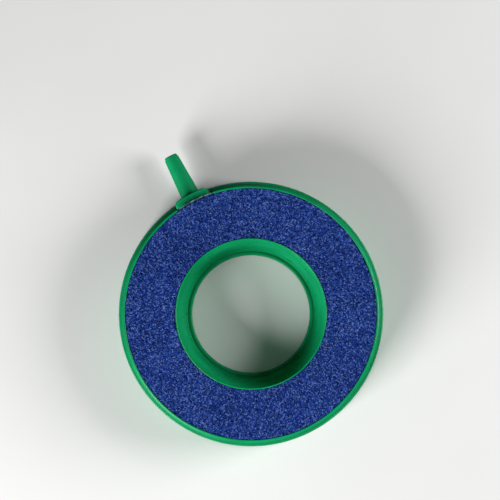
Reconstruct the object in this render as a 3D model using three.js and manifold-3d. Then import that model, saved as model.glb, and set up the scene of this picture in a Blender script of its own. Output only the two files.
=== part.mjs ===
// Ring bubble diffuser for a pond or an aquarium: a porous stone ring glued into a two-part
// plastic housing, with a tapered stem for the air hose. Air enters through the stem, spreads
// round the chamber under the stone and leaves as fine bubbles through the stone's top.
//
// Millimetres. z = 0 is the plane that the ring rests on and +Z is up. Inside the ring group the
// z axis is the ring's own axis and the hose stem points along +X.

import * as THREE from "three";
import { mergeVertices } from "three/addons/utils/BufferGeometryUtils.js";
import Module from "manifold-3d";

const { lerp } = THREE.MathUtils;

// Housing: overall sizes.
const BASE_RADIUS = 38;
const HOLE_RADIUS = 16.85;
const BASE_THICKNESS = 1.6;
const RIM_HEIGHT = 13;

// Outer wall: it leans in a little, and a rounded shoulder leads to its narrow flat rim.
const WALL_FOOT_RADIUS = 37.45;
const SHOULDER_RADIUS = 36.85;
const SHOULDER_HEIGHT = 10.5;
const RIM_RADIUS = 35.95;
const CHAMBER_RADIUS = 36;

// Cone round the centre hole: it opens upwards, to a thin lip.
const CONE_FOOT_RADIUS = 18.2;
const CONE_TOP_RADIUS = 21.1;
const CONE_WALL = 1.5;

// Pocket that holds the stone: two ledges, joined by spokes.
const POCKET_OUTER_RADIUS = 35.7;
const POCKET_INNER_RADIUS = 21.45;
const SEAT_HEIGHT = 6.6;
const LEDGE_WIDTH = 1.8;
const LEDGE_THICKNESS = 1.4;
const SPOKES = 8;
const SPOKE_WIDTH = 2;
const SPOKE_DEPTH = 3.2;

// Stone ring: it stands just below the rim and has bevelled edges.
const STONE_HEIGHT = 6.2;
const STONE_CLEARANCE = 0.1;
const STONE_BOTTOM_BEVEL = 0.9;
const STONE_TOP_BEVEL = 0.2;

// Base plate: two low ribs on its top centre it in the shell.
const LOCATOR_HEIGHT = 1.2;
const LOCATOR_WIDTH = 1;
const LOCATOR_CLEARANCE = 0.1;
const EDGE_BEVEL = 0.3;
const FOOT_BEVEL = 0.8;

// Hose nozzle: a saddle block in a notch of the outer wall, and a tapered stem. The block's
// inner face stands back from the stone, so that sealant fits between them.
const SADDLE_RADIUS = 38.25;
const SADDLE_INNER_RADIUS = 36.2;
const SADDLE_HALF_WIDTH = 5.2;
const SADDLE_CORNER = 1.6;
const SADDLE_STANDOFF = 0.2;
const SADDLE_FOOT_HEIGHT = 3;
const NOTCH_GAP_WIDE = 1;
const NOTCH_GAP_NARROW = 0.15;
const STEM_HEIGHT = 5;
const STEM_ROOT_RADIUS = 2.55;
const STEM_TIP_RADIUS = 1.9;
const STEM_TIP_BEVEL = 0.25;
const STEM_REACH = 50.8;
const BORE_RADIUS = 1.1;

// Sealant: how far a bead stays off the walls of its channel, how far its legs stop short of
// the channel's ends, and how far the beads round the nozzle block stop below the rim.
const BEAD_CLEARANCE = 0.02;
const BEAD_SHORTFALL = 0.1;
const WIDE_BEAD_RECESS = 4;
const NARROW_BEAD_RECESS = 0.8;
const FRONT_BEAD_RECESS = 0.5;

// How far a cutting shape runs past the faces that it cuts.
const OVERRUN = 1;

// Points that are closer than this are one point.
const MERGE_DISTANCE = 1e-4;

// Straight pieces in a full turn, and in the rounded stretches.
const RING_SEGMENTS = 72;
const STEM_SEGMENTS = 32;
const CORNER_SEGMENTS = 6;
const SHOULDER_SEGMENTS = 4;

const GREEN_PLASTIC = new THREE.MeshStandardMaterial({
  color: 0x078a55,
  roughness: 0.42,
  metalness: 0,
});
const BLUE_STONE = new THREE.MeshStandardMaterial({
  color: 0x2a4186,
  roughness: 0.95,
  metalness: 0,
});
const CLEAR_SEALANT = new THREE.MeshStandardMaterial({
  color: 0xcfd8d2,
  roughness: 0.35,
  metalness: 0,
});

const wasm = await Module();
wasm.setup();

// A closed three.js geometry as a solid that can be joined and cut.
function solid(geometry) {
  geometry.deleteAttribute("normal");
  geometry.deleteAttribute("uv");
  const merged = mergeVertices(geometry, MERGE_DISTANCE);
  return new wasm.Manifold(
    new wasm.Mesh({
      numProp: 3,
      vertProperties: merged.attributes.position.array,
      triVerts: new Uint32Array(merged.index.array),
    }),
  );
}

// A solid turned about the z axis from an outline of [radius, height] points. The outline
// runs anticlockwise, so up its outer side, and closes on itself.
function turned(outline, segments = RING_SEGMENTS) {
  const points = [...outline, outline[0]].map(([r, z]) => new THREE.Vector2(r, z));
  return solid(new THREE.LatheGeometry(points, segments).rotateX(Math.PI / 2));
}

// A box between two corners.
function box([x0, y0, z0], [x1, y1, z1]) {
  const geometry = new THREE.BoxGeometry(x1 - x0, y1 - y0, z1 - z0);
  return solid(geometry.translate((x0 + x1) / 2, (y0 + y1) / 2, (z0 + z1) / 2));
}

// How far up a height is, from 0 at the shell's foot to 1 at a given level.
const rise = (z, level) => (z - BASE_THICKNESS) / (level - BASE_THICKNESS);
// The two faces of the cone at a height.
const coneRadius = (z) => lerp(CONE_FOOT_RADIUS, CONE_TOP_RADIUS, rise(z, RIM_HEIGHT));
const coneBackRadius = (z) => coneRadius(z) + CONE_WALL;

// The outside of the outer wall at a height. The shoulder is a quarter of an ellipse.
function wallRadius(z) {
  if (z < SHOULDER_HEIGHT) {
    return lerp(WALL_FOOT_RADIUS, SHOULDER_RADIUS, rise(z, SHOULDER_HEIGHT));
  }
  const up = (z - SHOULDER_HEIGHT) / (RIM_HEIGHT - SHOULDER_HEIGHT);
  return lerp(RIM_RADIUS, SHOULDER_RADIUS, Math.sqrt(1 - up ** 2));
}

const LEDGE_BOTTOM = SEAT_HEIGHT - LEDGE_THICKNESS;
const LEDGE_OUTER_EDGE = POCKET_OUTER_RADIUS - LEDGE_WIDTH;
const LEDGE_INNER_EDGE = POCKET_INNER_RADIUS + LEDGE_WIDTH;
const BEVEL_TOP = BASE_THICKNESS + FOOT_BEVEL;
const LOCATOR_TOP = BASE_THICKNESS + LOCATOR_HEIGHT;
const OUTER_LOCATOR_FACE = CHAMBER_RADIUS - LOCATOR_CLEARANCE;
const INNER_LOCATOR_FACE = coneBackRadius(LOCATOR_TOP) + LOCATOR_CLEARANCE;

// The space beside the nozzle block that the outer wall leaves free.
const NOTCH_INNER_X = LEDGE_OUTER_EDGE - OVERRUN;
const NOTCH_OUTER_X = SADDLE_RADIUS + OVERRUN;
const NOTCH_LOW_Y = -SADDLE_HALF_WIDTH - NOTCH_GAP_WIDE;
const NOTCH_HIGH_Y = SADDLE_HALF_WIDTH + NOTCH_GAP_NARROW;

function notch() {
  return box(
    [NOTCH_INNER_X, NOTCH_LOW_Y, BASE_THICKNESS - OVERRUN],
    [NOTCH_OUTER_X, NOTCH_HIGH_Y, RIM_HEIGHT + OVERRUN],
  );
}

// The shoulder's outline, from its foot up to the rim.
function shoulder() {
  const points = [];
  for (let i = 0; i <= SHOULDER_SEGMENTS; i++) {
    const turn = ((i / SHOULDER_SEGMENTS) * Math.PI) / 2;
    const z = lerp(SHOULDER_HEIGHT, RIM_HEIGHT, Math.sin(turn));
    points.push([wallRadius(z), z]);
  }
  return points;
}

function upperShell() {
  const outerWall = turned([
    [WALL_FOOT_RADIUS, BASE_THICKNESS],
    ...shoulder(),
    [POCKET_OUTER_RADIUS, RIM_HEIGHT],
    [POCKET_OUTER_RADIUS, SEAT_HEIGHT],
    [LEDGE_OUTER_EDGE, SEAT_HEIGHT],
    [LEDGE_OUTER_EDGE, LEDGE_BOTTOM],
    [CHAMBER_RADIUS, LEDGE_BOTTOM],
    [CHAMBER_RADIUS, BEVEL_TOP],
    [CHAMBER_RADIUS + FOOT_BEVEL, BASE_THICKNESS],
  ]);
  const cone = turned([
    [CONE_FOOT_RADIUS, BASE_THICKNESS],
    [coneBackRadius(BASE_THICKNESS) - FOOT_BEVEL, BASE_THICKNESS],
    [coneBackRadius(BEVEL_TOP), BEVEL_TOP],
    [coneBackRadius(LEDGE_BOTTOM), LEDGE_BOTTOM],
    [LEDGE_INNER_EDGE, LEDGE_BOTTOM],
    [LEDGE_INNER_EDGE, SEAT_HEIGHT],
    [POCKET_INNER_RADIUS, SEAT_HEIGHT],
    [POCKET_INNER_RADIUS, RIM_HEIGHT],
    [CONE_TOP_RADIUS, RIM_HEIGHT],
  ]);
  // Each spoke ends inside the two walls that it joins.
  const spokeStart = (coneRadius(SEAT_HEIGHT) + coneBackRadius(SEAT_HEIGHT - SPOKE_DEPTH)) / 2;
  const spokeEnd = (CHAMBER_RADIUS + wallRadius(SEAT_HEIGHT)) / 2;
  let shell = outerWall.add(cone);
  for (let i = 0; i < SPOKES; i++) {
    const spoke = box(
      [spokeStart, -SPOKE_WIDTH / 2, SEAT_HEIGHT - SPOKE_DEPTH],
      [spokeEnd, SPOKE_WIDTH / 2, SEAT_HEIGHT],
    );
    // Half a step round from the stem, so that no spoke stands in front of the air inlet.
    shell = shell.add(spoke.rotate([0, 0, ((i + 0.5) * 360) / SPOKES]));
  }
  return shell.subtract(notch());
}

function basePlate() {
  return turned([
    [HOLE_RADIUS + EDGE_BEVEL, 0],
    [BASE_RADIUS - EDGE_BEVEL, 0],
    [BASE_RADIUS, EDGE_BEVEL],
    [BASE_RADIUS, BASE_THICKNESS - EDGE_BEVEL],
    [BASE_RADIUS - EDGE_BEVEL, BASE_THICKNESS],
    [OUTER_LOCATOR_FACE, BASE_THICKNESS],
    [OUTER_LOCATOR_FACE, LOCATOR_TOP],
    [OUTER_LOCATOR_FACE - LOCATOR_WIDTH, LOCATOR_TOP],
    [OUTER_LOCATOR_FACE - LOCATOR_WIDTH, BASE_THICKNESS],
    [INNER_LOCATOR_FACE + LOCATOR_WIDTH, BASE_THICKNESS],
    [INNER_LOCATOR_FACE + LOCATOR_WIDTH, LOCATOR_TOP],
    [INNER_LOCATOR_FACE, LOCATOR_TOP],
    [INNER_LOCATOR_FACE, BASE_THICKNESS],
    [HOLE_RADIUS + EDGE_BEVEL, BASE_THICKNESS],
    [HOLE_RADIUS, BASE_THICKNESS - EDGE_BEVEL],
    [HOLE_RADIUS, EDGE_BEVEL],
  ]);
}

function stoneRing() {
  const outer = POCKET_OUTER_RADIUS - STONE_CLEARANCE;
  const inner = POCKET_INNER_RADIUS + STONE_CLEARANCE;
  const top = SEAT_HEIGHT + STONE_HEIGHT;
  return turned([
    [inner + STONE_BOTTOM_BEVEL, SEAT_HEIGHT],
    [outer - STONE_BOTTOM_BEVEL, SEAT_HEIGHT],
    [outer, SEAT_HEIGHT + STONE_BOTTOM_BEVEL],
    [outer, top - STONE_TOP_BEVEL],
    [outer - STONE_TOP_BEVEL, top],
    [inner + STONE_TOP_BEVEL, top],
    [inner, top - STONE_TOP_BEVEL],
    [inner, SEAT_HEIGHT + STONE_BOTTOM_BEVEL],
  ]);
}

// The saddle block seen from above: its outer face is an arc about the ring's axis, and its
// two outer corners are rounded where that arc meets the straight sides.
function saddlePlan() {
  const cornerY = SADDLE_HALF_WIDTH - SADDLE_CORNER;
  const cornerX = Math.sqrt((SADDLE_RADIUS - SADDLE_CORNER) ** 2 - cornerY ** 2);
  const cornerAngle = Math.atan2(cornerY, cornerX);
  const plan = new THREE.Shape();
  plan.moveTo(NOTCH_INNER_X, SADDLE_HALF_WIDTH);
  plan.lineTo(NOTCH_INNER_X, -SADDLE_HALF_WIDTH);
  plan.absarc(cornerX, -cornerY, SADDLE_CORNER, -Math.PI / 2, -cornerAngle);
  plan.absarc(0, 0, SADDLE_RADIUS, -cornerAngle, cornerAngle);
  plan.absarc(cornerX, cornerY, SADDLE_CORNER, cornerAngle, Math.PI / 2);
  return plan;
}

function hoseNozzle() {
  const footBottom = BASE_THICKNESS + SADDLE_STANDOFF;
  const column = new THREE.ExtrudeGeometry(saddlePlan(), {
    depth: RIM_HEIGHT,
    curveSegments: CORNER_SEGMENTS,
    bevelEnabled: false,
  });
  // The block's foot carries on the wall's ledge under the stone.
  const innerProfile = turned([
    [NOTCH_OUTER_X, footBottom],
    [NOTCH_OUTER_X, RIM_HEIGHT],
    [SADDLE_INNER_RADIUS, RIM_HEIGHT],
    [SADDLE_INNER_RADIUS, SEAT_HEIGHT],
    [LEDGE_OUTER_EDGE, SEAT_HEIGHT],
    [LEDGE_OUTER_EDGE, SADDLE_FOOT_HEIGHT],
    [CHAMBER_RADIUS, SADDLE_FOOT_HEIGHT],
    [CHAMBER_RADIUS, footBottom],
  ]);
  const stemStart = SADDLE_RADIUS - OVERRUN;
  const stem = turned(
    [
      [0, stemStart],
      [STEM_ROOT_RADIUS, stemStart],
      [STEM_ROOT_RADIUS, SADDLE_RADIUS],
      [STEM_TIP_RADIUS, STEM_REACH - STEM_TIP_BEVEL],
      [STEM_TIP_RADIUS - STEM_TIP_BEVEL, STEM_REACH],
      [0, STEM_REACH],
    ],
    STEM_SEGMENTS,
  );
  const boreStart = NOTCH_INNER_X;
  const boreEnd = STEM_REACH + OVERRUN;
  const bore = turned(
    [
      [0, boreStart],
      [BORE_RADIUS, boreStart],
      [BORE_RADIUS, boreEnd],
      [0, boreEnd],
    ],
    STEM_SEGMENTS,
  );
  // Lays a solid turned about z along the stem's axis.
  const alongStem = (made) => made.rotate([0, 90, 0]).translate([0, 0, STEM_HEIGHT]);
  return solid(column).intersect(innerProfile).add(alongStem(stem)).subtract(alongStem(bore));
}

// A three-cornered bead of sealant in a channel that runs round the ring. The channel's square
// corner is at a radius and a height. Its floor runs inwards or outwards from there and its
// side runs up, and a bevel closes it.
function bead(radius, height, floor, side) {
  const direction = Math.sign(floor);
  const cornerRadius = radius + direction * BEAD_CLEARANCE;
  const cornerHeight = height + BEAD_CLEARANCE;
  const outline = [
    [cornerRadius, cornerHeight],
    [cornerRadius + floor - direction * BEAD_SHORTFALL, cornerHeight],
    [cornerRadius, cornerHeight + side - BEAD_SHORTFALL],
  ];
  return turned(direction > 0 ? outline : outline.reverse());
}

function stoneOuterSealant() {
  const channel = STONE_BOTTOM_BEVEL + STONE_CLEARANCE;
  return bead(POCKET_OUTER_RADIUS, SEAT_HEIGHT, -channel, channel);
}

function stoneInnerSealant() {
  const channel = STONE_BOTTOM_BEVEL + STONE_CLEARANCE;
  return bead(POCKET_INNER_RADIUS, SEAT_HEIGHT, channel, channel);
}

// This bead stops at the notch, where the nozzle's own sealant takes over.
function baseOuterSealant() {
  const channel = FOOT_BEVEL + LOCATOR_CLEARANCE;
  return bead(OUTER_LOCATOR_FACE, BASE_THICKNESS, channel, channel).subtract(notch());
}

function baseInnerSealant() {
  const footEdge = coneBackRadius(BASE_THICKNESS) - FOOT_BEVEL;
  const floor = footEdge - INNER_LOCATOR_FACE;
  return bead(INNER_LOCATOR_FACE, BASE_THICKNESS, floor, FOOT_BEVEL + LOCATOR_CLEARANCE);
}

// One bead all round the saddle block: under it, up both of its sides within the wall's
// thickness, and between its inner face and the stone. In the wider gap it stops lower, so that
// a small pit is left beside the block.
function nozzleSealant() {
  const low = BASE_THICKNESS + BEAD_CLEARANCE;
  const high = RIM_HEIGHT - NARROW_BEAD_RECESS;
  const frontTop = RIM_HEIGHT - FRONT_BEAD_RECESS;
  const slab = (y0, y1, top) =>
    box([NOTCH_INNER_X, y0, low], [NOTCH_OUTER_X, y1, top]);
  const lowY = NOTCH_LOW_Y + BEAD_CLEARANCE;
  const highY = NOTCH_HIGH_Y - BEAD_CLEARANCE;
  const side = SADDLE_HALF_WIDTH + BEAD_CLEARANCE;
  const underside = slab(lowY, highY, BASE_THICKNESS + SADDLE_STANDOFF - BEAD_CLEARANCE);
  const wideSide = slab(lowY, -side, RIM_HEIGHT - WIDE_BEAD_RECESS);
  const narrowSide = slab(side, highY, high);
  const wallBand = turned([
    [CHAMBER_RADIUS + BEAD_SHORTFALL, low],
    [wallRadius(low) - BEAD_SHORTFALL, low],
    [wallRadius(high) - BEAD_SHORTFALL, high],
    [POCKET_OUTER_RADIUS + BEAD_SHORTFALL, high],
  ]);
  const frontBand = turned([
    [SADDLE_INNER_RADIUS - BEAD_CLEARANCE, SEAT_HEIGHT + BEAD_CLEARANCE],
    [SADDLE_INNER_RADIUS - BEAD_CLEARANCE, frontTop],
    [POCKET_OUTER_RADIUS + BEAD_CLEARANCE, frontTop],
    [POCKET_OUTER_RADIUS + BEAD_CLEARANCE, SEAT_HEIGHT + BEAD_CLEARANCE],
  ]);
  const front = slab(lowY, highY, RIM_HEIGHT).intersect(frontBand);
  return underside.add(wideSide).add(narrowSide).intersect(wallBand).add(front);
}

// A named mesh of a finished solid.
function piece(name, made, material) {
  const { vertProperties, triVerts } = made.getMesh();
  const geometry = new THREE.BufferGeometry();
  geometry.setAttribute("position", new THREE.BufferAttribute(vertProperties, 3));
  geometry.setIndex(new THREE.BufferAttribute(triVerts, 1));
  geometry.computeVertexNormals();
  const mesh = new THREE.Mesh(geometry, material);
  mesh.name = name;
  return mesh;
}

const ring = new THREE.Group();
ring.add(
  piece("upper_shell", upperShell(), GREEN_PLASTIC),
  piece("base_plate", basePlate(), GREEN_PLASTIC),
  piece("stone_ring", stoneRing(), BLUE_STONE),
  piece("hose_nozzle", hoseNozzle(), GREEN_PLASTIC),
  piece("stone_outer_sealant", stoneOuterSealant(), CLEAR_SEALANT),
  piece("stone_inner_sealant", stoneInnerSealant(), CLEAR_SEALANT),
  piece("nozzle_sealant", nozzleSealant(), CLEAR_SEALANT),
  piece("base_outer_sealant", baseOuterSealant(), CLEAR_SEALANT),
  piece("base_inner_sealant", baseInnerSealant(), CLEAR_SEALANT),
);
// The part's origin is the middle of its footprint, which reaches from the ring's far edge to
// the stem's tip.
ring.position.x = (BASE_RADIUS - STEM_REACH) / 2;

const diffuser = new THREE.Group();
diffuser.add(ring);

export default diffuser;
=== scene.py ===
"""Ring bubble diffuser: a ring of bonded blue grains in a moulded green housing with a hose stem.

The housing, the nozzle and the sealant are turned or swept from rounded outlines that are read
off the CAD solids. The stone's face is displaced into single grains. Lengths inside the mesh
code are millimetres from the ring's axis and the resting plane.
"""

import math

import bmesh
import bpy
import numpy as np
from mathutils import Matrix, Vector


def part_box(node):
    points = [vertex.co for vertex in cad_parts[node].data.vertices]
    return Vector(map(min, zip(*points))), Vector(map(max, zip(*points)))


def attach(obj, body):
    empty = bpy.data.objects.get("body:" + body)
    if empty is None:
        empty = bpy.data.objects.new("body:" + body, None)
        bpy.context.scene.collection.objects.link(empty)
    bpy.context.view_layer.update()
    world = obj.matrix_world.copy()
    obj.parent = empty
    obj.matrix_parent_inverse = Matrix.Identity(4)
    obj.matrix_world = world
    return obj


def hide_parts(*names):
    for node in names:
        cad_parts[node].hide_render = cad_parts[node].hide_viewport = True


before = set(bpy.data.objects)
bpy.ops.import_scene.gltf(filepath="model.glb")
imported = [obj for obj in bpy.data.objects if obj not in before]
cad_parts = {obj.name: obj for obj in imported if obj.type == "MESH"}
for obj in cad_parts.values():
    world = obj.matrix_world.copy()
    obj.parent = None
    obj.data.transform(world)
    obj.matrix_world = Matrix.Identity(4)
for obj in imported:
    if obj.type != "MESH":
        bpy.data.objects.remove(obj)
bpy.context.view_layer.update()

MM = 0.001
SEED = 7

# Points of a mesh that are closer than this, in mm, are merged.
MERGE_DISTANCE = 0.002

# Fineness of the meshes.
RING_STEPS = 288
STEM_STEPS = 64
ROUNDING_STEPS = 4
SHOULDER_STEPS = 12
BLOCK_STEPS = 40

# Rounding radii of the moulded edges, in mm.
TINY_EDGE = 0.05
FINE_EDGE = 0.1
SHARP_EDGE = 0.12
THIN_LIP = 0.15
LEDGE_EDGE = 0.2
SOFT_EDGE = 0.3
PLATE_EDGE = 0.35
CONE_FOOT_EDGE = 0.45

# A rounding uses up at most this share of the sides beside it.
LARGEST_CUT = 0.45
SMALLEST_ROUNDING = 1e-4

# Edges with a sharper bend than the first angle are bevelled, and faces that meet at a sharper
# bend than the second (the third, on sealant) are shaded apart. All are in degrees.
BEVELLED_BEND = 50
SHARP_BEND = 40
SEALANT_BEND = 50
BEVEL_STEPS = 3

# The spokes under the stone, in mm.
SPOKES = 8
SPOKE_HALF_WIDTH = 1.0
SPOKE_INTO_CONE = 0.3
SPOKE_INTO_WALL = 0.4
SPOKE_EDGE = 0.2

# The groove in the base plate's top along the cone's foot, where the two parts are glued, in mm.
GROOVE_WIDTH = 0.5
GROOVE_UNDER_CONE = 0.1
GROOVE_DEPTH = 0.13

# The nozzle's details, in mm: the saddle block's rounded shape and the stem's fillet and seam.
BLOCK_CORNER = 1.6
BLOCK_EDGE = 0.4
BLOCK_INNER_EDGE = 0.25
BLOCK_END_ROUNDING = 0.5
BLOCK_CROWN = 0.12
STEM_INTO_BLOCK = 1.0
STEM_FILLET = 0.35
FILLET_INTO_BLOCK = 0.05
STEM_ARC_STEPS = 6
TIP_ROUNDING = 0.4
SEAM_INTO_BLOCK = 0.5
SEAM_STANDS_PROUD = 0.2
SEAM_THICKNESS = 0.16
SEAM_EDGE = 0.03
OVERRUN = 1.0

# How fast the painted shade on the block's top, which also lowers its roughness, fades out towards its
# two ends.
SHADE_FADE_NARROW_END = 1.1
SHADE_FADE_WIDE_END = 0.4

# The stone, in mm: the pitch of its grains, the fineness of its mesh, and the grains' relief. Of all
# grains a small share (PIT_SHARE) is missing and leaves a pit, into which shade is painted: its colour
# is darker by a factor.
GRAIN_PITCH = 0.42
GRAIN_STEPS_ROUND = 1120
GRAIN_STEPS_ACROSS = 73
GRAIN_STEPS_EDGE = 4
GRAIN_EDGE = 0.12
PLAIN_SIDE_DEPTH = 0.48
CREVICE_WIDTH = 0.17
CREVICE_DEPTH = 0.16
GRAIN_DOME = 0.3
GRAIN_TILT = 0.36
GRAIN_UNEVENNESS = 0.05
PIT_SHARE = 0.05
PIT_DEPTH = 0.2
PIT_PAINTED_SHADE = 0.35
GRAIN_LIFT = 0.12
HIGHEST_GRAIN = 0.17

# The sealant, in mm: the rounding of its beads, how far they stay off their neighbours, how far
# inwards a leg's top reaches over its foot, and the waves of a free top (their height, and how
# many radians they turn in a millimetre) and its hollow.
BEAD_EDGE = 0.08
BEAD_SIDE_EDGE = 0.05
BEAD_TOP_EDGE = 0.02
BEAD_HOLLOW_EDGE = 0.2
BEAD_STEPS = 2
BEAD_RING_STEPS = 180
BEAD_GAP = 0.02
BEAD_SHORTFALL = 0.1
LEG_STEPS = 4
LEG_TOP_INWARDS = 0.2
STRIP_STEPS = 8
WAVE_HEIGHT = 0.05
WAVE_TURNS = (3.1, 1.7)
SEALANT_HOLLOW = 0.15

# The share of the narrow gap beside the saddle block that stays free between block and sealant.
LEG_CLEARANCE = 1 / 6

# The view: straight down on the ring, with the stem to the upper left. The camera aims a little
# past the ring's middle, so that the ring stands low in the picture.
CAMERA_HEIGHT = 0.795
LENS = 198.8
SENSOR = 36.0
STEM_DIRECTION = math.radians(117.1)
AIM_LEFT = 0.0003
AIM_UP = 0.0184
LIGHT_DISTANCE = 0.6

# The backdrop: its colour, how bright it looks, how much light it gives, and the distances in
# metres between which the floor fades into it. The floor gives little light back too.
BACKDROP = (0.97, 0.98, 1.0, 1.0)
BACKDROP_SEEN = 1.0
BACKDROP_GIVEN = 0.06
FLOOR_GIVEN = 0.05
FLOOR_HALF = 3.0
FADE_START = 0.12
FADE_END = 0.5


def rgb(red, green, blue):
    """An opaque colour, from linear values."""
    return (red, green, blue, 1.0)


# Colours of the plastic, the crevices in the stone, the sealant and the floor.
GREEN_DEEP = rgb(0.001, 0.25, 0.087)
GREEN_PALE = rgb(0.002, 0.325, 0.12)
GREEN_SPECK = rgb(0.02, 0.42, 0.2)
# Painted highlight on the stem's seam.
GREEN_PAINTED_HIGHLIGHT = rgb(0.09, 0.5, 0.28)
# Painted shade on the block's top near the stone.
GREEN_PAINTED_SHADE = rgb(0.0003, 0.018, 0.012)
# Painted shade in the stone's crevices and pits.
CREVICE_PAINTED_SHADE = rgb(0.003, 0.008, 0.05)
SEALANT_BLUE = rgb(0.3, 0.62, 0.74)
SEALANT_PALE = rgb(0.5, 0.85, 0.95)
FLOOR_GREY = rgb(0.80, 0.80, 0.79)
FLOOR_PALE = rgb(0.84, 0.84, 0.83)

# The grains' shades, from the darkest (0) to the palest (1).
GRAIN_SHADES = {
    0.0: rgb(0.001, 0.013, 0.155),
    0.3: rgb(0.010, 0.041, 0.24),
    0.7: rgb(0.023, 0.063, 0.28),
    0.9: rgb(0.05, 0.104, 0.36),
    1.0: rgb(0.1, 0.165, 0.46),
}


# ---------------------------------------------------------------- reading the CAD frame

base_low, base_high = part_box("base_plate")
AXIS = Vector(((base_low.x + base_high.x) / 2, (base_low.y + base_high.y) / 2, 0))

# Corners of the CAD solids that are closer than the first length, in mm, are at the same place.
# Corners that are farther past a feature's edge than the second belong to the next feature.
NEAR = 0.01
WELL_PAST = 1.0


def cad_points(node):
    """A node's corners in mm, measured from the ring's axis."""
    corners = np.array([v.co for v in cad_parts[node].data.vertices], float)
    return (corners - np.array(AXIS)) / MM


def meridian(node):
    """The (radius, height) corners of a ring-shaped node on the side away from the stem."""
    points = cad_points(node)
    there = points[(abs(points[:, 1]) < NEAR) & (points[:, 0] < 0)]
    return np.unique(np.round(np.c_[-there[:, 0], there[:, 2]], 3), axis=0)


def radii(node, height):
    """The radii at which a ring-shaped node has corners at a height, smallest first."""
    corners = meridian(node)
    return [float(r) for r, z in corners if abs(z - height) < NEAR]


def heights(node):
    """The heights at which a node has corners, lowest first."""
    return sorted({round(float(z), 3) for _, z in meridian(node)})


# ---------------------------------------------------------------- mesh helpers


def rounded(corners, steps=ROUNDING_STEPS):
    """A closed outline from its (x, y, rounding radius) corners."""
    places = [np.array(corner[:2], float) for corner in corners]
    points = []
    for i, corner in enumerate(places):
        before = places[i - 1] - corner
        after = places[(i + 1) % len(places)] - corner
        reach_before, reach_after = np.linalg.norm(before), np.linalg.norm(after)
        before, after = before / reach_before, after / reach_after
        half = math.acos(np.clip(before @ after, -1, 1)) / 2
        largest = LARGEST_CUT * min(reach_before, reach_after)
        cut = min(corners[i][2] / math.tan(half), largest)
        size = cut * math.tan(half)
        if size < SMALLEST_ROUNDING:
            points.append(corner)
            continue
        middle = corner + (before + after) / np.linalg.norm(before + after) * size / math.sin(half)
        first, last = corner + before * cut - middle, corner + after * cut - middle
        sweep = math.pi - 2 * half
        for k in range(steps + 1):
            t = k / steps
            spot = math.sin((1 - t) * sweep) * first + math.sin(t * sweep) * last
            points.append(middle + spot / math.sin(sweep))
    return np.array(points)


def new_piece(name, points, faces, material):
    """A mesh object from points in mm about the ring's axis, with smooth shading."""
    mesh = bpy.data.meshes.new(name)
    mesh.from_pydata((np.asarray(points) * MM + np.array(AXIS)).tolist(), [], faces)
    mesh.validate()
    piece = bpy.data.objects.new(name, mesh)
    bpy.context.scene.collection.objects.link(piece)
    mesh.materials.append(material)
    mesh.shade_smooth()
    return piece


def loop_faces(rows, columns, close_rows):
    """Quads over a grid of points whose columns join up, and whose rows do if close_rows."""
    faces = []
    for i in range(rows if close_rows else rows - 1):
        for j in range(columns):
            a, b = i * columns + j, i * columns + (j + 1) % columns
            c, d = (i + 1) % rows * columns + j, (i + 1) % rows * columns + (j + 1) % columns
            faces.append((a, b, d, c))
    return faces


def turned(name, outline, material, steps=RING_STEPS):
    """A ring turned about the z axis from a closed (radius, height) outline, anticlockwise."""
    angle = np.arange(steps) / steps * 2 * math.pi
    rings = [np.c_[np.cos(angle) * r, np.sin(angle) * r, np.full(steps, z)] for r, z in outline]
    return new_piece(name, np.concatenate(rings), loop_faces(len(outline), steps, True), material)


def swept(name, outline, material, y_from, y_to, steps, the_long_way=False, limits=None):
    """Part of a ring with a closed (radius, height) outline, ending in flat faces at two values of
    y. It spans the nozzle's side, or all the rest of the ring if the_long_way. limits(y) gives the
    farthest x and the highest z at a y, and brings the steps closer together at the ends."""
    turns = 2 * math.pi if the_long_way else 0
    share = np.linspace(0, 1, steps + 1)
    if limits:
        share = (1 - np.cos(share * math.pi)) / 2
    points = []
    for t in share:
        for r, z in outline:
            start, stop = math.asin(y_from / r), math.asin(y_to / r) + turns
            angle = start + (stop - start) * t
            x, y = r * math.cos(angle), r * math.sin(angle)
            if limits:
                x_limit, z_limit = limits(y)
                x, z = min(x, x_limit), min(z, z_limit)
            points.append((x, y, z))
    corners = len(outline)
    faces = [tuple(reversed(face)) for face in loop_faces(steps + 1, corners, False)]
    faces.append(tuple(range(corners)))
    faces.append(tuple(steps * corners + i for i in reversed(range(corners))))
    return new_piece(name, points, faces, material)


def apply_modifier(piece, kind, **settings):
    """Adds a modifier, and makes its result the piece's own mesh."""
    modifier = piece.modifiers.new(kind, kind)
    for key, value in settings.items():
        setattr(modifier, key, value)
    graph = bpy.context.evaluated_depsgraph_get()
    mesh = bpy.data.meshes.new_from_object(piece.evaluated_get(graph))
    piece.modifiers.clear()
    old = piece.data
    piece.data = mesh
    mesh.name = old.name
    bpy.data.meshes.remove(old)


def face_outwards(piece, merge=True):
    """Turns every face of a closed mesh outwards. Points that coincide are merged first, if
    merge."""
    edit = bmesh.new()
    edit.from_mesh(piece.data)
    if merge:
        bmesh.ops.remove_doubles(edit, verts=edit.verts, dist=MERGE_DISTANCE * MM)
        bmesh.ops.dissolve_degenerate(edit, edges=edit.edges, dist=MERGE_DISTANCE * MM)
    bmesh.ops.recalc_face_normals(edit, faces=edit.faces)
    edit.to_mesh(piece.data)
    edit.free()


def combine(piece, others, operation):
    """Joins closed pieces to a piece, or cuts them out of it, and removes them."""
    for other in others:
        apply_modifier(piece, "BOOLEAN", operation=operation, object=other, solver="EXACT")
        face_outwards(piece)
        bpy.data.objects.remove(other)


def shade(piece, bend=SHARP_BEND):
    """Shades a piece smoothly, apart from the edges with a sharper bend."""
    piece.data.shade_smooth()
    piece.data.set_sharp_from_angle(angle=math.radians(bend))


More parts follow.
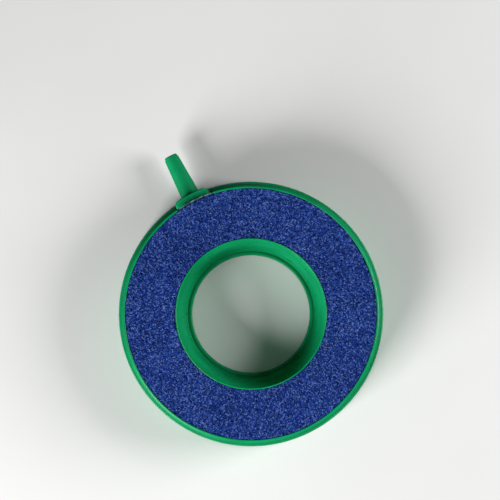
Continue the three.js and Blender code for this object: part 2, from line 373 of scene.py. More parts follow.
def soften(piece, width):
    """Rounds the edges that are still sharp."""
    face_outwards(piece)
    apply_modifier(
        piece,
        "BEVEL",
        width=width * MM,
        segments=BEVEL_STEPS,
        limit_method="ANGLE",
        angle_limit=math.radians(BEVELLED_BEND),
    )
    shade(piece)


def place(piece, node):
    """The piece stands for a CAD node: it is attached to the root body, and the node is hidden."""
    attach(piece, "root")
    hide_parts(node)


# ---------------------------------------------------------------- materials


class Nodes:
    """A material's node tree, with short calls for adding nodes and links."""

    def __init__(self, name):
        self.material = bpy.data.materials.new(name)
        self.material.use_nodes = True
        self.tree = self.material.node_tree
        self.shader = self.tree.nodes["Principled BSDF"]
        self.place = self.add("ShaderNodeTexCoord").outputs["Object"]

    def add(self, kind, inputs=None, **settings):
        node = self.tree.nodes.new(kind)
        for key, value in settings.items():
            setattr(node, key, value)
        for key, value in (inputs or {}).items():
            self.feed(node.inputs[key], value)
        return node

    def feed(self, socket, value):
        if isinstance(value, bpy.types.NodeSocket):
            self.tree.links.new(value, socket)
        else:
            socket.default_value = value

    def noise(self, size_mm, detail=3.0, stretch=(1, 1, 1)):
        """Noise whose features are about size_mm across."""
        scale = self.add("ShaderNodeMapping", {"Vector": self.place, "Scale": stretch})
        inputs = {"Vector": scale.outputs[0], "Scale": 1 / (size_mm * MM), "Detail": detail}
        return self.add("ShaderNodeTexNoise", inputs).outputs["Fac"]

    def spread(self, noise, to_low=0.0, to_high=1.0):
        """Noise, most of which lies between 0.3 and 0.7, stretched to a range."""
        return self.remap(noise, 0.3, 0.7, to_low, to_high)

    def remap(self, value, low, high, to_low=0.0, to_high=1.0):
        inputs = {0: value, 1: low, 2: high, 3: to_low, 4: to_high}
        return self.add("ShaderNodeMapRange", inputs).outputs[0]

    def math(self, operation, a, b=0.0):
        return self.add("ShaderNodeMath", {0: a, 1: b}, operation=operation).outputs[0]

    def mix(self, share, a, b, blend="MIX"):
        node = self.add("ShaderNodeMix", data_type="RGBA", blend_type=blend)
        self.feed(node.inputs[0], share)
        self.feed(node.inputs[6], a)
        self.feed(node.inputs[7], b)
        return node.outputs[2]

    def bump(self, height, distance_mm, strength=1.0, under=None):
        node = self.add("ShaderNodeBump", {"Height": height, "Distance": distance_mm * MM})
        node.inputs["Strength"].default_value = strength
        if under is not None:
            self.feed(node.inputs["Normal"], under)
        return node.outputs["Normal"]

    def surface(self, **inputs):
        for key, value in inputs.items():
            self.feed(self.shader.inputs[key.replace("_", " ")], value)
        return self.material


def green_plastic():
    """Glossy moulded polypropylene: flow marks, a fine orange-peel skin and light scuffs."""
    n = Nodes("green_plastic")
    # Flow marks and pale specks in the plastic.
    flow = n.noise(9.0, detail=2.0, stretch=(1.0, 1.0, 2.5))
    colour = n.mix(n.spread(flow), GREEN_DEEP, GREEN_PALE)
    specks = n.remap(n.noise(0.5, detail=2.0), 0.66, 0.74)
    colour = n.mix(n.math("MULTIPLY", specks, 0.25), colour, GREEN_SPECK)
    # Scuffs, in patches.
    scuffs = n.remap(n.noise(1.6, detail=5.0, stretch=(6.0, 0.7, 1.0)), 0.6, 0.72)
    scuffs = n.math("MULTIPLY", scuffs, n.remap(n.noise(7.0), 0.5, 0.62))
    rough = n.spread(n.noise(2.5, detail=4.0), 0.26, 0.36)
    rough = n.math("ADD", rough, n.math("MULTIPLY", scuffs, 0.2))
    # Painted highlight: the stem's seam is paler. Painted shade: the block's top is darker towards its
    # inner edge, and glossier there.
    painted_highlight = n.add("ShaderNodeAttribute", attribute_name="painted_highlight").outputs["Fac"]
    colour = n.mix(painted_highlight, colour, GREEN_PAINTED_HIGHLIGHT)
    painted_shade = n.add("ShaderNodeAttribute", attribute_name="painted_shade").outputs["Fac"]
    painted_shade = n.math("MULTIPLY", painted_shade, n.spread(n.noise(0.9, detail=3.0), 0.8, 1.2))
    colour = n.mix(n.math("MINIMUM", painted_shade, 1.0), colour, GREEN_PAINTED_SHADE)
    rough = n.math("SUBTRACT", rough, n.math("MULTIPLY", painted_shade, 0.06))
    # Orange-peel skin, over long waves in which the scuffs are sunk.
    skin = n.bump(n.noise(0.45, detail=2.0), 0.02, 0.35)
    waves = n.math("ADD", n.noise(4.0, detail=1.0), n.math("MULTIPLY", scuffs, -0.06))
    marks = n.bump(waves, 0.05, 0.5, skin)
    return n.surface(
        Base_Color=colour,
        Roughness=rough,
        Normal=marks,
        IOR=1.49,
        Specular_IOR_Level=0.3,
        Subsurface_Weight=0.08,
        Subsurface_Radius=(0.4 * MM, 1.6 * MM, 0.8 * MM),
        Subsurface_Scale=1.0,
    )


def blue_stone():
    """Bonded mineral grains: each grain has its own shade, some are pale and glassy, and shade is
    painted into the crevices between them, nearly black."""
    n = Nodes("blue_stone")
    grain = n.add("ShaderNodeAttribute", attribute_name="grain")
    split = n.add("ShaderNodeSeparateColor", {"Color": grain.outputs["Color"]})
    tone, openness, sparkle = split.outputs[0], split.outputs[1], split.outputs[2]
    grit = n.remap(n.noise(0.25, detail=2.0), 0.35, 0.65, -0.55, 0.55)
    shades = n.add("ShaderNodeValToRGB", {"Fac": n.math("ADD", tone, grit)})
    darkest, *between, palest = GRAIN_SHADES.items()
    stops = shades.color_ramp.elements
    stops[0].color, stops[1].color = darkest[1], palest[1]
    for position, colour in between:
        stops.new(position).color = colour
    drift = n.spread(n.noise(14.0, detail=2.0), 0.96, 1.16)
    drift = n.add("ShaderNodeCombineColor", {"Red": drift, "Green": drift, "Blue": drift})
    body = n.mix(1.0, shades.outputs["Color"], drift.outputs["Color"], "MULTIPLY")
    # Painted shade: crevices and pits are darkened towards a near black blue.
    colour = n.mix(n.remap(openness, 0.0, 0.55), CREVICE_PAINTED_SHADE, body)
    glassy = n.remap(sparkle, 0.8, 0.95)
    rough = n.remap(glassy, 0.0, 1.0, 0.62, 0.22)
    normal = n.bump(n.noise(0.1, detail=3.0), 0.03, 0.5)
    return n.surface(
        Base_Color=colour,
        Roughness=rough,
        Normal=normal,
        Specular_IOR_Level=0.04,
        Coat_Weight=n.math("MULTIPLY", glassy, 0.5),
        Coat_Roughness=0.2,
    )


def clear_sealant():
    """Cured silicone: partly clear and partly milky, softly glossy, with small bubbles."""
    n = Nodes("clear_sealant")
    colour = n.mix(n.spread(n.noise(1.2, detail=2.0)), SEALANT_BLUE, SEALANT_PALE)
    bubbles = n.add("ShaderNodeTexVoronoi", {"Vector": n.place, "Scale": 1 / (0.4 * MM)})
    rough = n.spread(n.noise(0.8), 0.22, 0.36)
    normal = n.bump(n.remap(bubbles.outputs["Distance"], 0.0, 0.3), 0.03, 0.4)
    return n.surface(
        Base_Color=colour,
        Roughness=rough,
        Normal=normal,
        IOR=1.41,
        Transmission_Weight=n.remap(n.noise(0.7, detail=2.0), 0.35, 0.65, 0.95, 0.5),
    )


def pale_floor():
    """A matt studio floor with a barely visible mottle. It looks pale, but throws little light
    back on the part, so that the shadows inside the ring stay deep. Far out it fades into the
    backdrop, so that no horizon shows."""
    n = Nodes("pale_floor")
    mottle = n.spread(n.noise(60.0, detail=3.0))
    colour = n.mix(mottle, FLOOR_GREY, FLOOR_PALE)
    seen = n.add("ShaderNodeLightPath").outputs["Is Camera Ray"]
    distance = n.add("ShaderNodeVectorMath", {0: n.place}, operation="LENGTH").outputs["Value"]
    fade = n.math("MULTIPLY", seen, n.remap(distance, FADE_START, FADE_END))
    given = rgb(FLOOR_GIVEN, FLOOR_GIVEN, FLOOR_GIVEN)
    colour = n.mix(seen, given, n.mix(fade, colour, rgb(0, 0, 0)))
    return n.surface(
        Base_Color=colour,
        Roughness=n.spread(n.noise(20.0), 0.6, 0.7),
        Emission_Color=BACKDROP,
        Emission_Strength=n.math("MULTIPLY", fade, BACKDROP_SEEN),
        Specular_IOR_Level=0.1,
    )


GREEN = green_plastic()
STONE = blue_stone()
SEALANT = clear_sealant()


# ---------------------------------------------------------------- the housing

FOOT, BEVEL_TOP, LEDGE_BOTTOM, SEAT, SHOULDER = heights("upper_shell")[:5]
RIM = heights("upper_shell")[-1]
CONE_FOOT, CONE_LAND, WALL_LAND, WALL_FOOT = radii("upper_shell", FOOT)
CONE_TOP, POCKET_INNER, POCKET_OUTER, RIM_OUTER = radii("upper_shell", RIM)
_, LEDGE_INNER, LEDGE_OUTER, _ = radii("upper_shell", SEAT)
CONE_BACK, _, _, CHAMBER = radii("upper_shell", LEDGE_BOTTOM)
CONE_BACK_LOW, _ = radii("upper_shell", BEVEL_TOP)
(SHOULDER_FOOT,) = radii("upper_shell", SHOULDER)

nozzle_low, nozzle_high = ((corner - AXIS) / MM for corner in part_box("hose_nozzle"))
shell_near = cad_points("upper_shell")
shell_near = shell_near[(shell_near[:, 0] > LEDGE_OUTER) & (abs(shell_near[:, 1]) < 2 * nozzle_high.y)]
NOTCH_LOW = max(y for y in shell_near[:, 1] if y < 0)
NOTCH_HIGH = min(y for y in shell_near[:, 1] if y > 0)


def cone_radius(z):
    """The face of the cone round the centre hole."""
    return CONE_FOOT + (CONE_TOP - CONE_FOOT) * (z - FOOT) / (RIM - FOOT)


def spoke(index):
    """One of the bars that join the two walls under the stone. It ends inside both walls."""
    levels = cad_points("upper_shell")[:, 2]
    underside = levels[(levels > BEVEL_TOP + NEAR) & (levels < LEDGE_BOTTOM - NEAR)].min()
    outline = [
        (-SPOKE_HALF_WIDTH, underside),
        (SPOKE_HALF_WIDTH, underside),
        (SPOKE_HALF_WIDTH, SEAT),
        (-SPOKE_HALF_WIDTH, SEAT),
    ]
    ends = (cone_radius(SEAT) + SPOKE_INTO_CONE, CHAMBER + SPOKE_INTO_WALL)
    points = np.array([(x, y, z) for x in ends for y, z in outline])
    turn = np.array(Matrix.Rotation((index + 0.5) / SPOKES * 2 * math.pi, 3, "Z"))
    faces = loop_faces(2, 4, False) + [(0, 1, 2, 3), (7, 6, 5, 4)]
    bar = new_piece(f"spoke_{index}", points @ turn.T, faces, GREEN)
    soften(bar, SPOKE_EDGE)
    return bar


def wall_radius(z):
    """The outside of the outer wall: it leans in up to its shoulder, a quarter of an ellipse."""
    if z < SHOULDER:
        return WALL_FOOT + (SHOULDER_FOOT - WALL_FOOT) * (z - FOOT) / (SHOULDER - FOOT)
    up = (z - SHOULDER) / (RIM - SHOULDER)
    return RIM_OUTER + (SHOULDER_FOOT - RIM_OUTER) * math.sqrt(1 - up ** 2)


def upper_shell():
    turns = [math.pi / 2 * k / SHOULDER_STEPS for k in range(SHOULDER_STEPS)]
    levels = [SHOULDER + (RIM - SHOULDER) * math.sin(turn) for turn in turns]
    wall = [
        (WALL_FOOT, FOOT, SHARP_EDGE),
        *((wall_radius(z), z, 0) for z in levels),
        (RIM_OUTER, RIM, TINY_EDGE),
        (POCKET_OUTER, RIM, THIN_LIP),
        (POCKET_OUTER, SEAT, FINE_EDGE),
        (LEDGE_OUTER, SEAT, LEDGE_EDGE),
        (LEDGE_OUTER, LEDGE_BOTTOM, LEDGE_EDGE),
        (CHAMBER, LEDGE_BOTTOM, SOFT_EDGE),
        (CHAMBER, BEVEL_TOP, FINE_EDGE),
        (WALL_LAND, FOOT, TINY_EDGE),
    ]
    shell = swept(
        "upper_shell_moulding", rounded(wall), GREEN,
        NOTCH_HIGH, NOTCH_LOW, RING_STEPS, the_long_way=True,
    )
    soften(shell, SHARP_EDGE)
    cone = turned("cone", rounded([
        (CONE_FOOT, FOOT, CONE_FOOT_EDGE),
        (CONE_LAND, FOOT, TINY_EDGE),
        (CONE_BACK_LOW, BEVEL_TOP, FINE_EDGE),
        (CONE_BACK, LEDGE_BOTTOM, SOFT_EDGE),
        (LEDGE_INNER, LEDGE_BOTTOM, LEDGE_EDGE),
        (LEDGE_INNER, SEAT, LEDGE_EDGE),
        (POCKET_INNER, SEAT, FINE_EDGE),
        (POCKET_INNER, RIM, THIN_LIP),
        (CONE_TOP, RIM, THIN_LIP),
    ]), GREEN)
    combine(shell, [cone] + [spoke(i) for i in range(SPOKES)], "UNION")
    shade(shell)
    place(shell, "upper_shell")


def base_plate():
    locator_top = heights("base_plate")[-1]
    inner_face, inner_back, outer_back, outer_face = radii("base_plate", locator_top)
    hole = meridian("base_plate")[:, 0].min()
    edge = meridian("base_plate")[:, 0].max()
    groove_outer = CONE_FOOT + GROOVE_UNDER_CONE
    groove_inner = groove_outer - GROOVE_WIDTH
    top = [
        (outer_face, FOOT),
        (outer_face, locator_top),
        (outer_back, locator_top),
        (outer_back, FOOT),
        (inner_back, FOOT),
        (inner_back, locator_top),
        (inner_face, locator_top),
        (inner_face, FOOT),
        (groove_outer, FOOT),
        (groove_outer, FOOT - GROOVE_DEPTH),
        (groove_inner, FOOT - GROOVE_DEPTH),
        (groove_inner, FOOT),
    ]
    plate = turned("base_plate_moulding", rounded([
        (hole, 0.0, SOFT_EDGE),
        (edge, 0.0, SOFT_EDGE),
        (edge, FOOT, PLATE_EDGE),
        *((r, z, SHARP_EDGE) for r, z in top),
        (hole, FOOT, PLATE_EDGE),
    ]), GREEN)
    place(plate, "base_plate")


# ---------------------------------------------------------------- the nozzle

nozzle_points = cad_points("hose_nozzle")
STEM_REACH = float(nozzle_points[:, 0].max())
tip_ring = nozzle_points[abs(nozzle_points[:, 0] - STEM_REACH) < NEAR]
STEM_LEVEL = float(tip_ring[:, 2].min() + tip_ring[:, 2].max()) / 2
mid_plane = nozzle_points[abs(nozzle_points[:, 1]) < NEAR]
block_top = mid_plane[abs(mid_plane[:, 2] - RIM) < NEAR]
SADDLE_INNER, SADDLE_OUTER = float(block_top[:, 0].min()), float(block_top[:, 0].max())
across_stem = np.hypot(nozzle_points[:, 1], nozzle_points[:, 2] - STEM_LEVEL)
on_stem = nozzle_points[:, 0] > SADDLE_OUTER + WELL_PAST
BORE = float(across_stem[on_stem].min())
TIP_RADIUS = float(across_stem[on_stem & (nozzle_points[:, 0] < STEM_REACH - NEAR)].max())
above_root = mid_plane[(mid_plane[:, 0] > CHAMBER) & (mid_plane[:, 2] > STEM_LEVEL)]
ROOT_RADIUS = float(above_root[above_root[:, 2] < SEAT + 2 * WELL_PAST, 2].max()) - STEM_LEVEL
BLOCK_FOOT = nozzle_low.z
FOOT_TOP = min(float(z) for z in mid_plane[:, 2] if z > BLOCK_FOOT + NEAR)


def fall(past, radius):
    """How far a rounded corner falls away at a distance past the start of its rounding."""
    return radius - math.sqrt(max(0.0, radius ** 2 - max(0.0, past) ** 2))


def block_limits(y):
    """The saddle block's outline: rounded outer corners, a slight crown and rounded ends."""
    half_width = nozzle_high.y
    corner_y = half_width - BLOCK_CORNER
    corner_x = math.sqrt((SADDLE_OUTER - BLOCK_CORNER) ** 2 - corner_y ** 2) + BLOCK_CORNER
    x_limit = corner_x - fall(abs(y) - corner_y, BLOCK_CORNER)
    drop = fall(abs(y) - half_width + BLOCK_END_ROUNDING, BLOCK_END_ROUNDING)
    z_limit = RIM - BLOCK_CROWN * (y / half_width) ** 2 - drop
    return (x_limit if abs(y) > corner_y else SADDLE_OUTER), z_limit


def arc(centre, radius, start, stop):
    """Points on an arc in a plane, with its angles in quarter turns."""
    shares = [k / STEM_ARC_STEPS for k in range(STEM_ARC_STEPS + 1)]
    angles = [math.pi / 2 * (start + (stop - start) * share) for share in shares]
    return [(centre[0] + radius * math.cos(a), centre[1] + radius * math.sin(a)) for a in angles]


def stem():
    """The tapered stem, with a small fillet at its root and a rounded tip."""
    start = SADDLE_OUTER - STEM_INTO_BLOCK
    root = ROOT_RADIUS + STEM_FILLET
    outline = [(0, start), (root, start)]
    outline += arc((root, SADDLE_OUTER - FILLET_INTO_BLOCK + STEM_FILLET), STEM_FILLET, 3, 2)
    outline += arc((TIP_RADIUS - TIP_ROUNDING, STEM_REACH - TIP_ROUNDING), TIP_ROUNDING, 0, 1)
    outline.append((0, STEM_REACH))
    return along_stem("stem", outline)


def stem_seam():
    """The mould's parting line: a fine raised seam along both sides of the stem."""
    root, tip = SADDLE_OUTER - SEAM_INTO_BLOCK, STEM_REACH - 2 * TIP_ROUNDING
    corners = []
    for x, half in ((root, ROOT_RADIUS + SEAM_STANDS_PROUD), (tip, TIP_RADIUS + SEAM_STANDS_PROUD)):
        for y in (-half, half):
            corners += [(x, y, STEM_LEVEL + side * SEAM_THICKNESS / 2) for side in (-1, 1)]
    seam = new_piece("stem_seam", corners, [
        (0, 1, 3, 2), (4, 6, 7, 5), (0, 4, 5, 1), (2, 3, 7, 6), (0, 2, 6, 4), (1, 5, 7, 3),
    ], GREEN)
    soften(seam, SEAM_EDGE)
    return seam


def hose_nozzle():
    block = [
        (SADDLE_OUTER, BLOCK_FOOT, SOFT_EDGE),
        (SADDLE_OUTER, RIM, BLOCK_EDGE),
        (SADDLE_INNER, RIM, BLOCK_INNER_EDGE),
        (SADDLE_INNER, SEAT, FINE_EDGE),
        (LEDGE_OUTER, SEAT, LEDGE_EDGE),
        (LEDGE_OUTER, FOOT_TOP, LEDGE_EDGE),
        (CHAMBER, FOOT_TOP, LEDGE_EDGE),
        (CHAMBER, BLOCK_FOOT, FINE_EDGE),
    ]
    nozzle = swept(
        "hose_nozzle_moulding", rounded(block), GREEN,
        -nozzle_high.y, nozzle_high.y, BLOCK_STEPS, limits=block_limits,
    )
    soften(nozzle, SHARP_EDGE)
    combine(nozzle, [stem(), stem_seam()], "UNION")
    bore_start, bore_end = LEDGE_OUTER - 2 * OVERRUN, STEM_REACH + OVERRUN
    bore = [(0, bore_start), (BORE, bore_start), (BORE, bore_end), (0, bore_end)]
    combine(nozzle, [along_stem("bore", bore)], "DIFFERENCE")
    shade(nozzle)
    mark_seam_highlight(nozzle)
    paint_block_shade(nozzle)
    place(nozzle, "hose_nozzle")


def store(piece, name, values):
    """Stores a number for each point of a piece, for its material to read."""
    field = piece.data.attributes.new(name, "FLOAT", "POINT")
    field.data.foreach_set("value", np.asarray(values, np.float32))


def mesh_points(piece):
    """A piece's points in mm, measured from the ring's axis."""
    return (np.array([v.co for v in piece.data.vertices]) - np.array(AXIS)) / MM


def mark_seam_highlight(nozzle):
    """Stores where the stem's seam stands proud: there a painted highlight makes the plastic paler
    than the rest.
    """
    points = mesh_points(nozzle)
    out = (points[:, 0] - SADDLE_OUTER) / (STEM_REACH - SADDLE_OUTER)
    stem_radius = ROOT_RADIUS + (TIP_RADIUS - ROOT_RADIUS) * out
    proud = abs(points[:, 1]) - stem_radius > SEAM_STANDS_PROUD / 2
    beside = proud & (abs(points[:, 2] - STEM_LEVEL) < SEAM_THICKNESS) & (out > 0)
    store(nozzle, "painted_highlight", beside)


def paint_block_shade(nozzle):
    """Stores where shade is painted on the block's top, which is also made glossier there: most at its
    inner edge, less towards its ends, and least at the end with the narrow gap."""
    points = mesh_points(nozzle)
    inwards = (SADDLE_OUTER - np.hypot(points[:, 0], points[:, 1])) / (SADDLE_OUTER - SADDLE_INNER)
    along = points[:, 1] / nozzle_high.y
    loss = np.where(along > 0, SHADE_FADE_NARROW_END, SHADE_FADE_WIDE_END)
    kept = np.clip(1 - loss * along ** 2, 0, 1)
    on_top = points[:, 2] > RIM - 2 * BLOCK_CROWN - BLOCK_END_ROUNDING
    store(nozzle, "painted_shade", np.clip(inwards, 0, 1) * kept * on_top)


def along_stem(name, outline):
    """A solid turned about the stem's axis from (radius, distance out) points that start and end
    on that axis."""
    angle = np.arange(STEM_STEPS) / STEM_STEPS * 2 * math.pi
    rings = [(x, np.cos(angle) * r, np.sin(angle) * r + STEM_LEVEL) for r, x in outline[1:-1]]
    points = [(x, y, z) for x, ys, zs in rings for y, z in zip(ys, zs)]
    faces = loop_faces(len(rings), STEM_STEPS, False)
    faces.append(tuple(reversed(range(STEM_STEPS))))
    faces.append(tuple((len(rings) - 1) * STEM_STEPS + i for i in range(STEM_STEPS)))
    piece = new_piece(name, points, faces, GREEN)
    face_outwards(piece)
    return piece


# ---------------------------------------------------------------- the stone


def grain_field(points):
    """For each point, the grain that it lies in: distance to the grain's middle, distance to the
    next grain's middle, the offset from the middle, and four random numbers of the grain."""
    rng = np.random.default_rng(SEED)
    # The cells reach past the points on every side, because a grain's middle may lie there.
    low = np.floor(points.min(0) / GRAIN_PITCH).astype(int) - 2
    size = np.ceil(points.max(0) / GRAIN_PITCH).astype(int) + 3 - low
    middles = rng.random((*size, 3))
    traits = rng.random((*size, 4))
    cell = np.floor(points / GRAIN_PITCH).astype(int)
    nearest = np.full(len(points), np.inf)
    second = np.full(len(points), np.inf)
    offset = np.zeros_like(points)
    own = np.zeros((len(points), 4))
    for shift in np.ndindex(3, 3, 3):
        there = cell + np.array(shift) - 1
        index = tuple((there - low).T)
        middle = (there + middles[index]) * GRAIN_PITCH
        gap = np.linalg.norm(points - middle, axis=1)
        closer = gap < nearest
        second = np.where(closer, nearest, np.minimum(second, gap))
        nearest = np.where(closer, gap, nearest)
        offset[closer] = (points - middle)[closer]
        own[closer] = traits[index][closer]
    return nearest, second, offset, own


def eased(share):
    """Makes a share from 0 to 1 start and end gently."""
    return share * share * (3 - 2 * share)


def stone_outline():
    """The stone's closed (radius, height) outline, anticlockwise, with fine steps over its face."""
    bottom, shoulder = heights("stone_ring")[:2]
    top = heights("stone_ring")[-1]
    inner, outer = radii("stone_ring", shoulder)
    edge, bevel = GRAIN_EDGE, shoulder - bottom
    flat = outer - inner - 2 * edge
    across = [
        (inner + edge + flat * k / GRAIN_STEPS_ACROSS, top) for k in range(GRAIN_STEPS_ACROSS + 1)
    ]
    turns = [math.pi / 2 * k / GRAIN_STEPS_EDGE for k in range(GRAIN_STEPS_EDGE)]
    rises = [(edge * math.cos(turn), edge * math.sin(turn)) for turn in turns]
    inner_edge = [(inner + edge - near, top - edge + up) for near, up in rises]
    outer_edge = [(outer - edge + near, top - edge + up) for up, near in rises[1:]]
    below = [
        (outer, top - edge),
        (outer, top - PLAIN_SIDE_DEPTH),
        (outer, shoulder),
        (outer - bevel, bottom),
        ((inner + outer) / 2, bottom),
        (inner + bevel, bottom),
        (inner, shoulder),
        (inner, top - PLAIN_SIDE_DEPTH),
    ]
    return np.array(inner_edge + across + outer_edge + below)[::-1]


def grain_relief(nearest, openness, offset, own, pit):
    """How far each point of the stone's face stands out. Each grain is a tilted dome."""
    tilt = offset[:, 0] * (own[:, 1] - 0.5) + offset[:, 1] * (own[:, 2] - 0.5)
    relief = (
        GRAIN_LIFT
        - CREVICE_DEPTH * (1 - openness)
        - GRAIN_DOME * nearest ** 2
        + GRAIN_TILT * tilt
        + GRAIN_UNEVENNESS * (2 * own[:, 3] - 1)
        - PIT_DEPTH * pit
    )
    return np.minimum(relief, HIGHEST_GRAIN)


def stone_ring():
    """The stone. Its colour attribute holds each grain's shade, how open the place is (crevices and
    pits get painted shade from it) and its sparkle."""
    outline = stone_outline()
    inner, outer, top = outline[:, 0].min(), outline[:, 0].max(), outline[:, 1].max()
    steps = GRAIN_STEPS_ROUND
    angle = np.arange(steps) / steps * 2 * math.pi
    radius, height = np.repeat(outline[:, 0], steps), np.repeat(outline[:, 1], steps)
    theta = np.tile(angle, len(outline))
    points = np.c_[radius * np.cos(theta), radius * np.sin(theta), height]
    nearest, second, offset, own = grain_field(points)
    openness = eased(np.clip((second - nearest) / CREVICE_WIDTH, 0, 1))
    pit = own[:, 0] < PIT_SHARE
    relief = grain_relief(nearest, openness, offset, own, pit)
    # Out of the stone's face: up on top, sideways on the rounded edges, nothing lower down.
    edge = GRAIN_EDGE
    lean = np.clip((height - (top - edge)) / edge, 0, 1)
    side = np.where(radius > (inner + outer) / 2, 1.0, -1.0) * np.sqrt(1 - lean ** 2)
    show = np.clip((height - (top - 2 * edge)) / edge, 0, 1)
    move = relief * show
    side_move = np.minimum(move, 0) * side
    points[:, 0] += side_move * np.cos(theta)
    points[:, 1] += side_move * np.sin(theta)
    points[:, 2] += move * lean
    stone = new_piece("stone_grains", points, loop_faces(len(outline), steps, True), STONE)
    face_outwards(stone, merge=False)
    stone.data.shade_smooth()
    colour = stone.data.color_attributes.new("grain", "FLOAT_COLOR", "POINT")
    # Painted shade: pits are made darker in colour.
    openness = openness * np.where(pit, PIT_PAINTED_SHADE, 1.0)
    values = np.c_[own[:, 3], openness, own[:, 0], np.ones(len(points))]
    colour.data.foreach_set("color", values.astype(np.float32).ravel())
    place(stone, "stone_ring")


# ---------------------------------------------------------------- the sealant


def sealant_ring(node):
    """A bead in its channel, from the CAD bead's three corners, with softened corners."""
    corners = meridian(node)
    middle = corners.mean(0)
    order = np.argsort(np.arctan2(corners[:, 1] - middle[1], corners[:, 0] - middle[0]))
    outline = rounded([(r, z, BEAD_EDGE) for r, z in corners[order]], BEAD_STEPS)
    bead = turned(node + "_bead", outline, SEALANT, BEAD_RING_STEPS)
    place(bead, node)


sealant_points = cad_points("nozzle_sealant")


def wavy(top):
    """Limits for swept() that give a bead's free top small waves."""
    fast, slow = WAVE_TURNS

    def limits(y):
        return math.inf, top + WAVE_HEIGHT * (math.sin(fast * y) + math.sin(slow * y + 1))

    return limits


def sealant_front(front, low_y, high_y):
    """The bead between the saddle block and the stone, from its CAD corners on the mid-plane. Its
    free top is uneven and hollowed, as sealant sets that was wiped into a gap."""
    inner, outer, top = front[:, 0].min(), front[:, 0].max(), front[:, 2].max()
    outline = [
        (outer, SEAT + BEAD_GAP, BEAD_SIDE_EDGE),
        (outer, top, BEAD_TOP_EDGE),
        ((inner + outer) / 2, top - SEALANT_HOLLOW, BEAD_HOLLOW_EDGE),
        (inner, top, BEAD_TOP_EDGE),
        (inner, SEAT + BEAD_GAP, BEAD_SIDE_EDGE),
    ]
    bead = swept(
        "nozzle_sealant_bead", rounded(outline, BEAD_STEPS), SEALANT,
        low_y, high_y, BLOCK_STEPS, limits=wavy(top - SEALANT_HOLLOW / 2),
    )
    face_outwards(bead)
    return bead


def sealant_leg(name, y_from, y_to, top):
    """The bead up one side of the saddle block, in the gap between it and the wall."""
    foot = sealant_points[:, 2].min()
    inner, outer = CHAMBER + BEAD_SHORTFALL, WALL_FOOT - BEAD_SHORTFALL
    outline = [
        (outer, foot, BEAD_SIDE_EDGE),
        (wall_radius(top) - BEAD_SHORTFALL, top, BEAD_SIDE_EDGE),
        (inner - LEG_TOP_INWARDS, top, BEAD_SIDE_EDGE),
        (inner, foot, BEAD_SIDE_EDGE),
    ]
    leg = swept(name, rounded(outline, BEAD_STEPS), SEALANT, y_from, y_to, LEG_STEPS)
    face_outwards(leg)
    return leg


def sealant_strip(low_y, high_y):
    """The flat bead under the saddle block."""
    inner, outer = CHAMBER + BEAD_SHORTFALL, WALL_FOOT - BEAD_SHORTFALL
    foot, top = sealant_points[:, 2].min(), BLOCK_FOOT - BEAD_GAP
    outline = [(outer, foot), (outer, top), (inner, top), (inner, foot)]
    strip = swept("under_strip", outline, SEALANT, low_y, high_y, STRIP_STEPS)
    face_outwards(strip)
    return strip


def nozzle_sealant():
    """The bead round the saddle block: between it and the stone, up its two sides and under it."""
    low_y, high_y = sealant_points[:, 1].min(), sealant_points[:, 1].max()
    on_mid_plane = abs(sealant_points[:, 1]) < NEAR
    front = sealant_points[on_mid_plane & (sealant_points[:, 2] > SEAT)]
    beyond = np.hypot(sealant_points[:, 0], sealant_points[:, 1]) > front[:, 0].max() + NEAR
    beside = sealant_points[beyond & (abs(sealant_points[:, 1]) > nozzle_high.y)]
    wide_top = beside[beside[:, 1] < 0, 2].max()
    narrow_top = beside[beside[:, 1] > 0, 2].max()
    side = nozzle_high.y + (high_y - nozzle_high.y) * LEG_CLEARANCE
    bead = sealant_front(front, low_y, high_y)
    legs = [
        sealant_leg("wide_leg", low_y, -side, wide_top),
        sealant_leg("narrow_leg", side, high_y, narrow_top),
    ]
    combine(bead, [*legs, sealant_strip(low_y, high_y)], "UNION")
    shade(bead, SEALANT_BEND)
    place(bead, "nozzle_sealant")


# ---------------------------------------------------------------- stage, light and camera


def view_axes():
    """Directions to the right and upwards in the picture, on the floor."""
    right = Vector((math.cos(STEM_DIRECTION), -math.sin(STEM_DIRECTION), 0))
    up = Vector((math.sin(STEM_DIRECTION), math.cos(STEM_DIRECTION), 0))
    return right, up


def stage():
    mesh = bpy.data.meshes.new("floor")
    signs = [(-1, -1), (1, -1), (1, 1), (-1, 1)]
    mesh.from_pydata([(x * FLOOR_HALF, y * FLOOR_HALF, 0) for x, y in signs], [], [(0, 1, 2, 3)])
    mesh.materials.append(pale_floor())
    floor = bpy.data.objects.new("floor", mesh)
    bpy.context.scene.collection.objects.link(floor)


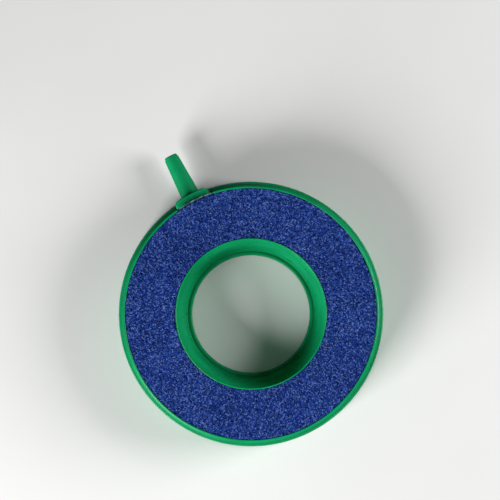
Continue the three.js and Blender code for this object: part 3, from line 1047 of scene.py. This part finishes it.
def softbox(name, bearing, elevation, size, power):
    """A square area light aimed at the ring. Its bearing is in degrees, anticlockwise from the
    right of the picture, and its elevation is above the floor."""
    across, along = view_axes()
    light = bpy.data.lights.new(name, "AREA")
    light.size = size
    light.energy = power
    lamp = bpy.data.objects.new(name, light)
    turn, rise = math.radians(bearing), math.radians(elevation)
    level = across * math.cos(turn) + along * math.sin(turn)
    lamp.location = AXIS + (level * math.cos(rise) + Vector((0, 0, math.sin(rise)))) * LIGHT_DISTANCE
    lamp.rotation_euler = (AXIS - lamp.location).to_track_quat("-Z", "Y").to_euler()
    bpy.context.scene.collection.objects.link(lamp)


def lights():
    softbox("key_softbox", bearing=226, elevation=23, size=0.3, power=5.7)
    softbox("fill_softbox", bearing=8, elevation=24, size=0.3, power=3.7)
    world = bpy.data.worlds.new("studio")
    world.use_nodes = True
    tree = world.node_tree
    background = tree.nodes["Background"]
    background.inputs["Color"].default_value = BACKDROP
    seen = tree.nodes.new("ShaderNodeLightPath").outputs["Is Camera Ray"]
    strength = tree.nodes.new("ShaderNodeMapRange")
    strength.inputs["To Min"].default_value = BACKDROP_GIVEN
    strength.inputs["To Max"].default_value = BACKDROP_SEEN
    tree.links.new(seen, strength.inputs["Value"])
    tree.links.new(strength.outputs[0], background.inputs["Strength"])
    bpy.context.scene.world = world


def camera():
    right, up = view_axes()
    data = bpy.data.cameras.new("camera")
    data.lens = LENS
    data.sensor_width = SENSOR
    eye = bpy.data.objects.new("camera", data)
    place_above = AXIS + Vector((0, 0, CAMERA_HEIGHT))
    back = (place_above - (AXIS - right * AIM_LEFT + up * AIM_UP)).normalized()
    right = up.cross(back).normalized()
    turn = Matrix((right, back.cross(right), back)).transposed().to_4x4()
    eye.matrix_world = Matrix.Translation(place_above) @ turn
    bpy.context.scene.collection.objects.link(eye)
    bpy.context.scene.camera = eye
    bpy.context.scene.view_settings.view_transform = "Standard"


upper_shell()
base_plate()
hose_nozzle()
stone_ring()
for sealant_node in (
    "stone_outer_sealant", "stone_inner_sealant", "base_outer_sealant", "base_inner_sealant"
):
    sealant_ring(sealant_node)
nozzle_sealant()
stage()
lights()
camera()
